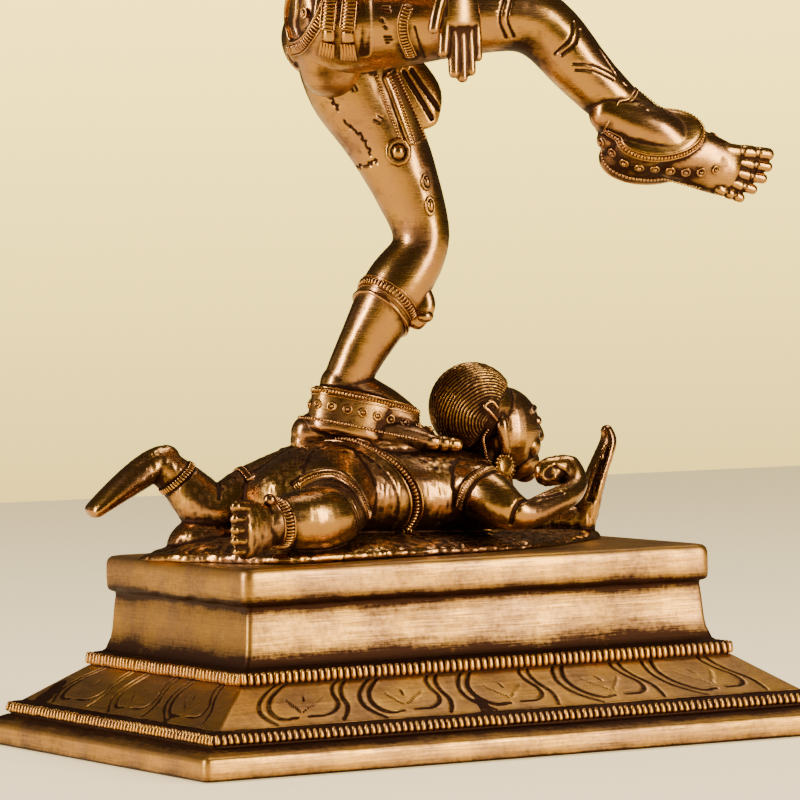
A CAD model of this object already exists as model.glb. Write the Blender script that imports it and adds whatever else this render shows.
# %% [markdown]
# # A dancing Shiva in antique brass
# The statue is two castings: a stepped pedestal and the figures, a dancer on one leg on a prone dwarf.
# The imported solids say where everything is. This notebook grows the same forms with a finer surface,
# chases the ornament into them, darkens the recesses as old brass does, and sets up the studio.

# %% Load the frame
import math

import bmesh
import bpy
import numpy as np
from mathutils import Matrix, Vector
from mathutils.bvhtree import BVHTree
from mathutils.kdtree import KDTree

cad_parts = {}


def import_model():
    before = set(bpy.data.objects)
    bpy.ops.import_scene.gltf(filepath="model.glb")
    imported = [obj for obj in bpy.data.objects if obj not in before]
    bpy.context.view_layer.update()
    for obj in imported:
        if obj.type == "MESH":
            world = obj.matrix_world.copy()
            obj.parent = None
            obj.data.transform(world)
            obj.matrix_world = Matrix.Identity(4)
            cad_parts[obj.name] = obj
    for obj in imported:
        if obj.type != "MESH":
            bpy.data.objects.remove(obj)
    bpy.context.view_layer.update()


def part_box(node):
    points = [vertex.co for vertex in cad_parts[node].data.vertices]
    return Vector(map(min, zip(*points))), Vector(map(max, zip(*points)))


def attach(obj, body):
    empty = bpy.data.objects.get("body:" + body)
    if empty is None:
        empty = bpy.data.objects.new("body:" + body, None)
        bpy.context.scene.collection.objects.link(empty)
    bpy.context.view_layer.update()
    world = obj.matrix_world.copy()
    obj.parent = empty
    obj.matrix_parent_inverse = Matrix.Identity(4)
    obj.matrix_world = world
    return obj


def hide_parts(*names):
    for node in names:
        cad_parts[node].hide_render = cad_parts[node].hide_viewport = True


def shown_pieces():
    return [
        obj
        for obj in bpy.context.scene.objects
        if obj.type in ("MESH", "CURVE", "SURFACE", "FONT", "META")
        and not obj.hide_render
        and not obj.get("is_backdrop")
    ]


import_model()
MM = 0.001

# %% [markdown]
# ## Camera
# A long lens far away gives the photograph's nearly parallel view. The camera's place was found from
# the edges of the pedestal, which is the one thing in view with straight lines and square corners.
# The same numbers also turn a pixel into a ray, which later puts a chased line where it is seen.

# %% Camera
IMAGE_SIZE = 800
FOCAL_PIXELS = 5000
SENSOR = 36
CAMERA_AT = np.array([-1165.13, -2080.60, 236.82])
CAMERA_RIGHT = np.array([0.87240, -0.48838, -0.01988])
CAMERA_UP = np.array([0.03273, 0.01779, 0.99931])
CAMERA_AHEAD = np.array([0.48769, 0.87245, -0.03151])


def make_camera():
    lens = bpy.data.cameras.new("camera")
    lens.sensor_width = SENSOR
    lens.lens = SENSOR * FOCAL_PIXELS / IMAGE_SIZE
    camera = bpy.data.objects.new("camera", lens)
    turn = Matrix([CAMERA_RIGHT, CAMERA_UP, -CAMERA_AHEAD]).transposed()
    camera.matrix_world = Matrix.LocRotScale(Vector(CAMERA_AT * MM), turn.to_quaternion(), None)
    bpy.context.scene.collection.objects.link(camera)
    bpy.context.scene.camera = camera
    print("camera", round(lens.lens), "mm lens,", round(float(np.linalg.norm(CAMERA_AT))), "mm away")


def photo_ray(x, y):
    """The line of sight through a pixel of the photograph, as origin in metres and direction."""
    half = IMAGE_SIZE / 2
    sight = CAMERA_AHEAD + ((x - half) * CAMERA_RIGHT - (y - half) * CAMERA_UP) / FOCAL_PIXELS
    return Vector(CAMERA_AT * MM), Vector(sight).normalized()


make_camera()

# %% [markdown]
# ## Tools for soft forms
# A limb could be sculpted, lathed or skinned. Here it is a circle, extruded into a tube, cut into rings
# and laid ring by ring along the limb's rows: centre, half width, half depth. Subdivision rounds it.
# Forms that are cast as one are joined, and a voxel remesh melts them into a single skin.

# %% Selecting, reading and writing
def only(*pieces):
    """Selects these pieces alone and makes the last one active."""
    bpy.ops.object.select_all(action="DESELECT")
    for piece in pieces:
        piece.select_set(True)
    bpy.context.view_layer.objects.active = pieces[-1]


def apply(piece, kind, **settings):
    """Adds a modifier, sets it and applies it."""
    only(piece)
    modifier = piece.modifiers.new(kind, kind)
    for name, value in settings.items():
        setattr(modifier, name, value)
    bpy.ops.object.modifier_apply(modifier=modifier.name)
    return piece


def read(piece, what="co"):
    """Every vertex's place in mm, or its normal."""
    values = np.empty(len(piece.data.vertices) * 3, np.float32)
    piece.data.vertices.foreach_get(what, values)
    scale = MM if what == "co" else 1
    return values.reshape(-1, 3).astype(float) / scale


def write(piece, places):
    piece.data.vertices.foreach_set("co", (places * MM).astype(np.float32).ravel())
    piece.data.update()


def unit(vectors):
    return vectors / np.maximum(np.linalg.norm(vectors, axis=-1, keepdims=True), 1e-9)


def outward(piece):
    only(piece)
    bpy.ops.object.mode_set(mode="EDIT")
    bpy.ops.mesh.select_all(action="SELECT")
    bpy.ops.mesh.normals_make_consistent(inside=False)
    bpy.ops.object.mode_set(mode="OBJECT")
    return piece


# %% A stack of rings
def stack(name, sides, levels):
    """A closed tube of rings, one unit apart, each with this many sides."""
    bpy.ops.object.select_all(action="DESELECT")
    bpy.ops.mesh.primitive_circle_add(vertices=sides, radius=1, fill_type="NGON")
    piece = bpy.context.active_object
    piece.name = name
    bpy.ops.object.mode_set(mode="EDIT")
    bpy.ops.mesh.select_mode(type="EDGE")
    bpy.ops.mesh.select_all(action="SELECT")
    bpy.ops.mesh.extrude_region_move(TRANSFORM_OT_translate={"value": (0, 0, levels - 1)})
    bpy.ops.mesh.select_all(action="DESELECT")
    mesh = bmesh.from_edit_mesh(piece.data)
    for edge in mesh.edges:
        edge.select_set(abs(edge.verts[0].co.z - edge.verts[1].co.z) > 0.5)
    bmesh.update_edit_mesh(piece.data)
    bpy.ops.mesh.subdivide(number_cuts=levels - 2)
    bpy.ops.object.mode_set(mode="OBJECT")
    return piece


def lay(piece, rings):
    """Lays a stack's vertices at rings[level][side], in mm."""
    rings = np.asarray(rings, float)
    sides = rings.shape[1]
    place = read(piece) * MM
    level = np.rint(place[:, 2]).astype(int)
    angle = np.arctan2(place[:, 1], place[:, 0]) - math.pi / 2
    side = np.rint(angle / (2 * math.pi) * sides).astype(int) % sides
    write(piece, rings[level, side])
    return outward(piece)


# %% Limbs and lumps
ROUNDING = 1.035
DOME_STEPS = [(1.0, 0.22), (0.85, 0.55), (0.5, 0.87)]


def limb(rows, across=(0, 1, 0), dome=0.8, sides=12):
    """A rounded limb through rows of x, y, z, half width, half depth and turn in degrees."""
    spine = np.array([row[:3] for row in rows], float)
    half = np.array([(row[3], row[4] if len(row) > 4 else row[3]) for row in rows]) * ROUNDING
    along = unit(np.gradient(spine, axis=0))
    rings = []
    for k, row in enumerate(rows):
        wide = np.array(across, float)
        if len(row) > 5:
            wide = np.array([math.cos(math.radians(row[5])), math.sin(math.radians(row[5])), 0])
        wide = unit(wide - along[k] * (wide @ along[k]))
        deep = np.cross(along[k], wide)
        angle = np.arange(sides)[:, None] * 2 * math.pi / sides
        rings.append(wide * half[k, 0] * np.cos(angle) + deep * half[k, 1] * np.sin(angle))
    reach = half.min(axis=1) * dome
    start = [(spine[0] - along[0] * reach[0] * far, rings[0] * small) for far, small in DOME_STEPS]
    end = [(spine[-1] + along[-1] * reach[-1] * far, rings[-1] * small) for far, small in DOME_STEPS]
    laid = [centre + ring for centre, ring in [*start, *zip(spine, rings), *reversed(end)]]
    piece = lay(stack("limb", sides, len(laid)), laid)
    return apply(piece, "SUBSURF", levels=2, render_levels=2)


def lump(centre, sizes, axis=(1, 0, 0)):
    """An ellipsoid with these half sizes, its first one along `axis`."""
    bpy.ops.object.select_all(action="DESELECT")
    bpy.ops.mesh.primitive_uv_sphere_add(segments=28, ring_count=18, radius=1)
    piece = bpy.context.active_object
    turn = Vector((1, 0, 0)).rotation_difference(Vector(axis))
    piece.data.transform(Matrix.LocRotScale(Vector(centre) * MM, turn, Vector(sizes) * MM))
    return piece


def digits(first_root, last_root, tips, half, across=(0.3, 0.8, 0.5)):
    """Fingers or toes fanned from a line of knuckles, each with a swelling at its joints."""
    pieces = []
    for k, tip in enumerate(tips):
        share = k / (len(tips) - 1)
        root = np.array(first_root) * (1 - share) + np.array(last_root) * share
        end = np.array(tip[:3], float)
        stout = half * (tip[3] if len(tip) > 3 else 1)
        swell = [(0, 1.1), (0.3, 0.96), (0.5, 1.08), (0.75, 0.92), (1, 0.9)]
        rows = [(*(root + (end - root) * part), stout * size) for part, size in swell]
        pieces.append(limb(rows, across, 0.7, 8))
    return pieces


# %% Melting forms into one skin
def triangles(piece):
    piece.data.calc_loop_triangles()
    return len(piece.data.loop_triangles)


def fuse(name, parts, voxel, rounds=2):
    """Joins the parts and melts them into one closed skin with this grain, in mm."""
    only(*parts)
    bpy.ops.object.join()
    piece = bpy.context.active_object
    piece.name = name
    grain = voxel * 1
    apply(piece, "REMESH", mode="VOXEL", voxel_size=grain * MM)
    apply(piece, "SMOOTH", factor=0.5, iterations=rounds)
    print(name, "melted to", len(piece.data.vertices), "points")
    return piece


def thin(piece, limit):
    """Takes triangles out of the flattest places until no more than `limit` are left."""
    count = triangles(piece)
    if count > limit:
        apply(piece, "DECIMATE", ratio=limit / count)
    only(piece)
    bpy.ops.object.shade_smooth()
    print(piece.name, count, "triangles, kept", triangles(piece))
    return piece


# %% [markdown]
# ## Tools for chasing
# A founder chases lines and beads into the wax. A line is found on the skin in one of two ways: a plane
# cuts a limb, as for a bangle, or the line of sight through a few pixels meets the skin. Grooves and
# straps then push the skin in or out, and beads, ribs and rails are small shapes set along the line.

# %% Lines on a skin
def tree_of(piece):
    return BVHTree.FromObject(piece, bpy.context.evaluated_depsgraph_get())


def even(hits, step, closed):
    """Hits of place and normal, spread evenly: places, normals and directions along the line."""
    hits = np.asarray(hits, float)
    if closed:
        hits = np.vstack([hits, hits[:1]])
    gap = np.linalg.norm(np.diff(hits[:, :3], axis=0), axis=1)
    run = np.concatenate([[0], np.cumsum(gap)])
    count = max(2, round(run[-1] / step) + (0 if closed else 1))
    stops = np.linspace(0, run[-1], count, endpoint=not closed)
    laid = np.stack([np.interp(stops, run, hits[:, c]) for c in range(6)], axis=1)
    place = laid[:, :3]
    if closed:
        ahead = np.roll(place, -1, axis=0) - np.roll(place, 1, axis=0)
    else:
        ahead = np.gradient(place, axis=0)
    return {"at": place, "out": unit(laid[:, 3:]), "along": unit(ahead), "closed": closed}


def curve(points, count=60):
    """A smooth curve through a few points, by cubic pieces."""
    points = np.asarray(points, float)
    if len(points) == 2:
        return points[0] + np.linspace(0, 1, count)[:, None] * (points[1] - points[0])
    padded = np.vstack([2 * points[0] - points[1], points, 2 * points[-1] - points[-2]])
    made = []
    for t in np.linspace(0, len(points) - 1.0001, count):
        k, u = int(t), t - int(t)
        a, b, c, d = padded[k:k + 4]
        made.append(((2 * b) + (c - a) * u + (2 * a - 5 * b + 4 * c - d) * u ** 2 + (3 * b - a - 3 * c + d) * u ** 3) / 2)
    return np.array(made)


def seen(tree, pixels, step=0.8, jump=7.0):
    """The line on the skin under a line drawn through pixels of the photograph."""
    hits = []
    for x, y in curve(pixels, 40 + 12 * len(pixels)):
        place, normal, _, _ = tree.ray_cast(*photo_ray(x, y))
        if place is None:
            continue
        hit = np.array((*(place / MM), *normal))
        if not hits or np.linalg.norm(hit[:3] - hits[-1][:3]) < jump:
            hits.append(hit)
    return even(hits, step, False)


# %% Grooves and straps
def nearest(places, line, reach):
    """Which places lie within reach of a line, how far off, and beside which of its points."""
    at = line["at"]
    low, high = at.min(axis=0) - reach, at.max(axis=0) + reach
    inside = np.flatnonzero(np.all((places > low) & (places < high), axis=1))
    distance = np.full(len(inside), np.inf)
    index = np.zeros(len(inside), int)
    for start in range(0, len(inside), 4000):
        part = inside[start:start + 4000]
        gap = np.linalg.norm(places[part][:, None] - at[None], axis=2)
        index[start:start + 4000] = gap.argmin(axis=1)
        distance[start:start + 4000] = gap.min(axis=1)
    near = distance < reach
    return inside[near], distance[near], index[near]


def emboss(piece, lines, half, height, edge=0.7):
    """Raises a flat strap along each line, or sinks a groove where the height is negative."""
    places, out = read(piece), read(piece, "normal")
    for line in lines:
        which, far, index = nearest(places, line, half + edge)
        rise = np.clip((half + edge - far) / edge, 0, 1)
        rise = rise * rise * (3 - 2 * rise)
        facing = np.einsum("ij,ij->i", out[which], line["out"][index]) > 0.1
        places[which] += out[which] * (rise * facing * height)[:, None]
    write(piece, places)


# %% Beads, ribs and rails
def small_shape(kind):
    """One bead or tooth, modelled once: x along the line, y across it, z outwards."""
    bpy.ops.object.select_all(action="DESELECT")
    if kind == "bead":
        bpy.ops.mesh.primitive_uv_sphere_add(segments=8, ring_count=6, radius=1)
    else:
        bpy.ops.mesh.primitive_cube_add(size=2)
        bpy.ops.object.mode_set(mode="EDIT")
        bpy.ops.mesh.bevel(offset=0.55, segments=2, affect="EDGES")
        bpy.ops.object.mode_set(mode="OBJECT")
    shape = bpy.context.active_object
    corners = read(shape) * MM
    faces = [tuple(face.vertices) for face in shape.data.polygons]
    bpy.data.objects.remove(shape)
    return corners, faces


BEAD = small_shape("bead")
TOOTH = small_shape("tooth")
print("bead", len(BEAD[1]), "faces, tooth", len(TOOTH[1]), "faces")


def new_piece(name, corners, faces):
    mesh = bpy.data.meshes.new(name)
    mesh.from_pydata((np.asarray(corners) * MM).tolist(), [], faces)
    piece = bpy.data.objects.new(name, mesh)
    bpy.context.scene.collection.objects.link(piece)
    return piece


def row_of(shape, line, sizes, lift=0.0, shift=0.0, pick=None):
    """Copies of one small shape set along a line, each as large as `sizes`: along, across, out."""
    corners, faces = shape
    order = range(len(line["at"])) if pick is None else pick
    made, made_faces = [], []
    for k in order:
        out, along = line["out"][k], line["along"][k]
        side = np.cross(out, along)
        basis = np.array([along * sizes[0], side * sizes[1], out * sizes[2]])
        centre = line["at"][k] + out * lift + side * shift
        start = len(made) * len(corners)
        made.append(centre + corners @ basis)
        made_faces += [tuple(start + v for v in face) for face in faces]
    return new_piece("row", np.vstack(made), made_faces)


def rail(line, radius, lift=0.0, shift=0.0):
    """A round wire laid along a line, `shift` mm to its side."""
    side = np.cross(line["out"], line["along"])
    places = (line["at"] + line["out"] * lift + side * shift) * MM
    wire = bpy.data.curves.new("rail", "CURVE")
    wire.dimensions = "3D"
    wire.bevel_depth = radius * MM
    wire.bevel_resolution = 1
    wire.use_fill_caps = True
    spline = wire.splines.new("POLY")
    spline.points.add(len(places) - 1)
    spline.points.foreach_set("co", np.c_[places, np.ones(len(places))].ravel())
    spline.use_cyclic_u = line["closed"]
    piece = bpy.data.objects.new("rail", wire)
    bpy.context.scene.collection.objects.link(piece)
    only(piece)
    bpy.ops.object.convert(target="MESH")
    return bpy.context.active_object


def gather(name, parts):
    """Joins small parts to one piece without melting them."""
    only(*parts)
    bpy.ops.object.join()
    piece = bpy.context.active_object
    piece.name = name
    only(piece)
    bpy.ops.object.shade_smooth()
    return outward(piece)


# %% Chance, always the same
def wave(values, length, seed):
    """A smooth random wave between -1 and 1 with bumps about `length` apart."""
    dice = np.random.default_rng(seed)
    knots = dice.uniform(-1, 1, 4096)
    place = np.asarray(values, float) / length + 2000
    k = np.floor(place).astype(int)
    u = place - k
    u = u * u * (3 - 2 * u)
    return knots[k] * (1 - u) + knots[k + 1] * u


# %% [markdown]
# ## Pedestal
# The base is a stepped block: a plinth, a dark hollow, a slope of petals between two toothed mouldings,
# a coved middle and a thick slab. It could be a bevelled box for each step. One stack of rings from
# the floor up is closer to a casting, and its rings can waver, as the real hand-filed edges do.

# %% Pedestal sizes
PLINTH_LOW, PLINTH_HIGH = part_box("pedestal")
HALF_LENGTH = PLINTH_HIGH.x / MM
HALF_DEPTH = PLINTH_HIGH.y / MM
SLAB_TOP = PLINTH_HIGH.z / MM
# Rows from the floor up: inset from the plinth's edge, height, corner radius
BLOCK_ROWS = [
    (0.9, 0.02, 3), (0.2, 0.5, 3), (0, 1.4, 3), (0, 4.5, 3), (0, 8, 3), (0.2, 9.6, 3), (1, 10.6, 3),
    (2.4, 11.1, 2), (5, 12.4, 2), (8, 13.7, 2), (9.8, 14.3, 2), (9.1, 15, 2), (8.5, 16.4, 2),
    (8.9, 18.6, 2), (10.4, 20, 2), (13.2, 20.2, 2), (15, 21.2, 2), (20, 24.7, 2), (26, 28.9, 2),
    (32, 33, 2), (38, 36.9, 2), (38.9, 37.6, 2), (38.2, 38.6, 2), (37.9, 40.4, 2), (38.3, 42.6, 2),
    (40, 44, 2), (42.8, 44.5, 2), (44.2, 45.6, 2), (45, 48, 2), (46, 51, 2.5), (46.6, 55, 2.5),
    (47, 60, 2.5), (47.4, 65, 2.5), (47.8, 69, 2.5), (48.1, 71.8, 2.5), (47.6, 73, 3),
    (46.2, 73.4, 4), (45, 74.2, 4.5), (44.4, 75.8, 5), (44.3, 78.5, 5), (44.3, 81.5, 5),
    (44.3, 84.5, 5), (44.4, 86.8, 5), (44.9, 88.6, 5), (46, 89.8, 5), (48, 90.25, 5),
    (54, 90.3, 5), (62, 90.3, 4), (70, 90.3, 4), (78, 90.3, 4), (86, 90.3, 4), (94, 90.3, 4),
    (102, 90.3, 4), (110, 90.3, 3),
]
CORNER_STEPS = 6


def oblong(inset, height, radius, nx, ny):
    """One ring of the pedestal: nx points along each long side, ny along each short one."""
    halves = np.array([HALF_LENGTH - inset, HALF_DEPTH - inset])
    radius = min(radius, halves.min() * 0.9)
    ring = []
    for k, count in enumerate([ny, nx, ny, nx]):
        turn = math.pi / 2 * k
        along, out = (halves[1], halves[0]) if k % 2 == 0 else (halves[0], halves[1])
        for t in np.linspace(-(along - radius), along - radius, count):
            ring.append((out * math.cos(turn) - t * math.sin(turn), out * math.sin(turn) + t * math.cos(turn)))
        for step in range(1, CORNER_STEPS):
            bend = math.pi / 2 * step / CORNER_STEPS
            x, y = out - radius + radius * math.cos(bend), along - radius + radius * math.sin(bend)
            ring.append((x * math.cos(turn) - y * math.sin(turn), x * math.sin(turn) + y * math.cos(turn)))
    return np.c_[np.array(ring), np.full(len(ring), height)]


# %% Block
def pedestal_block():
    rings = np.array([oblong(inset, height, radius, 150, 104) for inset, height, radius in BLOCK_ROWS])
    piece = lay(stack("pedestal_block", rings.shape[1], len(rings)), rings)
    places, out = read(piece), read(piece, "normal")
    run = np.where(np.abs(places[:, 0]) * HALF_DEPTH > np.abs(places[:, 1]) * HALF_LENGTH, places[:, 1] + 500, places[:, 0])
    level = places[:, 2]
    filed = 0.16 * wave(run, 9, 1) + 0.22 * wave(run, 31, 2)
    filed *= np.interp(level, [0, 0.6, 4, 86, 90.2], [0, 0.3, 1, 1, 0])
    places += out * filed[:, None]
    chipped = np.exp(-((level - 74.2) / 1.3) ** 2) * (0.45 * wave(run, 4, 3) + 0.5 * wave(run, 13, 4))
    chipped += np.exp(-((level - 10.4) / 1.2) ** 2) * 0.16 * wave(run, 5, 5)
    sagging = np.clip((level - 72) / 3, 0, 1) * np.clip((88 - level) / 6, 0, 1) * 0.5 * wave(run, 60, 6)
    places[:, 2] += chipped + sagging
    places[:, 2] = np.clip(places[:, 2], 0, SLAB_TOP)
    write(piece, places)
    only(piece)
    bpy.ops.object.shade_smooth()
    print("pedestal block", triangles(piece), "triangles")
    return piece


block = pedestal_block()

# %% [markdown]
# ## Petal slope
# Each petal is a U chased with a graver, with a dotted V in it, and lines flow down between petals.
# A picture could fake them, but real grooves catch the light, so the slope is one fine grid whose
# points sink under the graver. The petals fan, because the slope is shorter above than below.

# %% Petal pattern
SLOPE_LOW = (14.4, 20.6)
SLOPE_HIGH = (38.4, 37.5)
SLOPE_LENGTH = math.hypot(SLOPE_HIGH[0] - SLOPE_LOW[0], SLOPE_HIGH[1] - SLOPE_LOW[1])
PETAL_PITCH = 53
# One petal in mm from its middle and as a share of the slope from its foot: left U, right U, runs between
PETAL_LINES = [
    ([(-13, 1), (-15.5, 0.88), (-18.2, 0.68), (-17.5, 0.46), (-13.5, 0.27), (-8, 0.17), (-1.5, 0.19)], 0.95),
    ([(15.5, 1), (13.8, 0.86), (14.8, 0.68), (17.6, 0.5), (17, 0.33), (12.5, 0.22), (4, 0.2)], 0.85),
    ([(20.5, 1), (18.8, 0.84), (19.6, 0.62), (22.6, 0.4), (22.4, 0.22), (21, 0.07)], 0.95),
    ([(-18.4, 1), (-21.5, 0.84), (-23.4, 0.62), (-21.4, 0.38), (-16.5, 0.2), (-10.5, 0.05)], 0.8),
]
V_DASHES = 7


def petal_strokes(middle):
    """Each stroke of one petal: its points in mm and its half width at each of them."""
    strokes = []
    for points, half in PETAL_LINES:
        line = curve([(middle + x, y * SLOPE_LENGTH) for x, y in points], 70)
        taper = np.sin(np.linspace(0.12, 0.93, len(line)) * math.pi) ** 0.6
        strokes.append((line, half * (0.35 + 0.75 * taper), 0.95))
    for side in (-1, 1):
        for k in range(V_DASHES):
            x = side * (1 + 1.35 * k)
            y = 0.34 + 0.042 * k
            dash = [(middle + x - side * 0.2, (y - 0.03) * SLOPE_LENGTH), (middle + x + side * 0.5, (y + 0.04) * SLOPE_LENGTH)]
            strokes.append((curve(dash, 6), np.full(6, 0.3), 0.35))
    tick = [(middle - 1.2, 0.68 * SLOPE_LENGTH), (middle - 0.4, 0.57 * SLOPE_LENGTH)]
    strokes.append((curve(tick, 8), np.full(8, 0.45), 0.6))
    return strokes


def sink_strokes(run, rise, strokes):
    """How far each grid point sinks, and how much dark patina its groove holds."""
    depth = np.zeros(len(run))
    for line, half, deep in strokes:
        low, high = line.min(axis=0) - 2, line.max(axis=0) + 2
        near = np.flatnonzero((run > low[0]) & (run < high[0]) & (rise > low[1]) & (rise < high[1]))
        gap = np.hypot(run[near, None] - line[None, :, 0], rise[near, None] - line[None, :, 1])
        closest = gap.argmin(axis=1)
        groove = np.clip(1.25 - gap[np.arange(len(near)), closest] / half[closest], 0, 1)
        depth[near] = np.maximum(depth[near], deep * groove * groove * (3 - 2 * groove))
    return depth


# %% Petal slope
def petal_slope():
    fine = 0.62
    levels = round(SLOPE_LENGTH / fine)
    nx, ny = round(2 * HALF_LENGTH * 0.88 / fine), round(2 * HALF_DEPTH * 0.84 / fine)
    shares = np.linspace(0, 1, levels)
    insets = SLOPE_LOW[0] + shares * (SLOPE_HIGH[0] - SLOPE_LOW[0])
    heights = SLOPE_LOW[1] + shares * (SLOPE_HIGH[1] - SLOPE_LOW[1])
    rows = [(SLOPE_LOW[0] + 5, SLOPE_LOW[1]), *zip(insets, heights), (SLOPE_HIGH[0] + 5, SLOPE_HIGH[1])]
    rings = np.array([oblong(inset, height, 1.2, nx, ny) for inset, height in rows])
    piece = lay(stack("petal_slope", rings.shape[1], len(rings)), rings)
    places = read(piece)
    inset = np.minimum(HALF_LENGTH - np.abs(places[:, 0]), HALF_DEPTH - np.abs(places[:, 1]))
    share = (places[:, 2] - SLOPE_LOW[1]) / (SLOPE_HIGH[1] - SLOPE_LOW[1])
    middle_inset = (SLOPE_LOW[0] + SLOPE_HIGH[0]) / 2
    on_slope = np.abs(inset - np.interp(share, [0, 1], [SLOPE_LOW[0], SLOPE_HIGH[0]])) < 1.5
    drop = np.zeros(len(places))
    tilt = unit(np.array([SLOPE_HIGH[1] - SLOPE_LOW[1], SLOPE_HIGH[0] - SLOPE_LOW[0]]))
    out = np.zeros_like(places)
    for side, count in enumerate([5, 3, 5, 3]):
        turn = math.pi / 2 * side
        ahead = np.array([math.cos(turn), math.sin(turn)])
        outer = np.array([math.sin(turn), -math.cos(turn)])
        half, depth = (HALF_LENGTH, HALF_DEPTH) if side % 2 == 0 else (HALF_DEPTH, HALF_LENGTH)
        mine = on_slope & (places[:, :2] @ outer > depth - inset - 0.6)
        run = (places[mine, :2] @ ahead) * (half - middle_inset) / (half - inset[mine])
        strokes = []
        for k in range(count):
            strokes += petal_strokes((k - (count - 1) / 2) * PETAL_PITCH + 0.8 * math.sin(5 * k + side))
        sunk = sink_strokes(run, share[mine] * SLOPE_LENGTH, strokes)
        drop[mine] = np.maximum(drop[mine], sunk)
        out[mine] = (*(outer * tilt[0]), tilt[1])
    run = places[:, 0] + places[:, 1] * 1.7
    places += out * (0.35 + 0.12 * wave(run, 14, 7) - drop)[:, None]
    write(piece, places)
    groove = piece.data.attributes.new("groove", "FLOAT", "POINT")
    groove.data.foreach_set("value", np.clip(drop / 0.55, 0, 1).astype(np.float32))
    return thin(piece, 122000)


slope = petal_slope()

# %% [markdown]
# ## Toothed mouldings
# Two rolls of short teeth frame the petals. A tooth is modelled once, a bevelled cube narrowed at the
# top, and copied along the four sides. Small random changes keep the rows from looking machine made.

# %% Toothed rows
UPPER_TEETH = {"inset": 38.0, "height": 41.0, "pitch": 3.3, "size": (1.15, 2.75, 1.5), "lean": 0.15}
LOWER_TEETH = {"inset": 9.0, "height": 17.4, "pitch": 3.3, "size": (1.2, 2.35, 1.5), "lean": 0.35}


def toothed_row(name, spec, narrow, seed):
    dice = np.random.default_rng(seed)
    corners, faces = TOOTH
    shaped = corners.copy()
    shaped[:, 0] *= 1 - narrow * (shaped[:, 1] + 1) / 2
    at, out, along = [], [], []
    for side in range(4):
        turn = math.pi / 2 * side
        ahead = np.array([math.cos(turn), math.sin(turn), 0])
        outer = np.array([math.sin(turn), -math.cos(turn), 0])
        half, depth = (HALF_LENGTH, HALF_DEPTH) if side % 2 == 0 else (HALF_DEPTH, HALF_LENGTH)
        half, depth = half - spec["inset"], depth - spec["inset"]
        count = round(2 * half / spec["pitch"])
        for k in range(count):
            run = (k + 0.5) / count * 2 * half - half + dice.normal(0, 0.12)
            at.append(ahead * run + outer * depth + np.array([0, 0, spec["height"] + dice.normal(0, 0.12)]))
            out.append(unit(outer + np.array([0, 0, spec["lean"] + dice.normal(0, 0.05)])))
            along.append(unit(ahead + np.array([0, 0, dice.normal(0, 0.05)])))
    line = {"at": np.array(at), "out": np.array(out), "along": np.array(along), "closed": True}
    piece = gather(name, [row_of((shaped, faces), line, spec["size"])])
    print(name, len(at), "teeth,", triangles(piece), "triangles")
    return piece


upper_teeth = toothed_row("upper_teeth", UPPER_TEETH, 0.0, 11)
lower_teeth = toothed_row("lower_teeth", LOWER_TEETH, 0.4, 12)

# %% [markdown]
# ## The dwarf
# The dwarf lies face down, head raised, and carries the dancer on his back. Each limb is one row of
# sections in mm: x, y, z, half width, half depth. The limbs are plump, so the sections stay round and
# swell between the joints. Body, limbs, cushion and serpent melt into one skin, as in the casting.

# %% Dwarf body
NEAR_KNEE = (-65, -44, 111)
BED_ROWS = [
    (-117, -16, 91, 44, 4), (-104, -11, 92, 52, 8), (-80, -10, 92.5, 51, 9), (-60, -10, 93, 51, 9),
    (-30, -8, 92.5, 48, 8), (0, -6, 92, 46, 8), (44, -4, 91, 42, 6), (84, 8, 91, 24, 4),
    (108, 12, 91, 11, 4),
]
DWARF_TORSO = [
    (-72, -4, 118, 20, 16), (-58, -5, 120, 32, 23), (-40, -5, 120, 35, 24), (-18, -4, 117, 31, 22),
    (6, -3, 117, 32, 22.5), (24, -3, 116, 35, 22), (36, -3, 117, 27, 18), (44, -2, 120, 14, 14),
]
DWARF_NEAR_ARM = [
    (17, -26, 120, 14), (22, -40, 117, 13.5), (26, -52, 109, 10.5), (36, -54, 106, 7.5),
    (50, -50, 112, 6.5), (66, -44, 115, 6.2), (74, -38, 121, 5.8), (72, -32, 128, 6),
]
DWARF_FAR_ARM = [
    (20, 22, 119, 13.5), (44, 34, 110, 11), (66, 34, 101, 8.5), (86, 22, 99, 8), (104, 12, 100, 8),
]
SERPENT = [
    (104, 12, 96, 8, 8), (108, 10, 109, 8, 6), (111, 9, 119, 7.5, 4.5), (115, 8, 129, 7, 4),
    (120, 8, 138, 5.5, 4), (118, 8, 143, 3.5, 3),
]
DWARF_NEAR_LEG = [
    (-50, -18, 122, 21), (-56, -38, 118, 17), (-65, -52, 111, 13.5), (-75, -57, 111, 15),
    (-87, -59, 111, 14.5), (-98, -59, 110, 12), (-107, -60, 109, 9.5),
]
DWARF_NEAR_FOOT = [(-105, -58, 108, 9), (-114, -63, 108, 13, 7.5), (-123, -68, 107.5, 14.5, 6)]
DWARF_NEAR_TOES = [(-130, -74, 119, 1.2), (-131, -75, 113.5), (-131, -75, 108.5), (-130.5, -74, 103.5), (-129.5, -73, 98.5, 0.9)]
DWARF_FAR_LEG = [
    (-50, 12, 123, 20), (-67, 17, 120, 16), (-80, 19, 117, 13.5), (-92, 20, 109, 13),
    (-96, 23, 113, 13.5), (-101, 27, 121, 11.5), (-108, 30, 129, 9.5), (-115, 31, 134, 9),
]
DWARF_FAR_FOOT = [
    (-111, 31, 137, 7), (-118, 31, 135, 8.5, 8), (-132, 33, 126, 9, 7), (-148, 35.5, 114, 8.5, 4),
]


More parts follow.
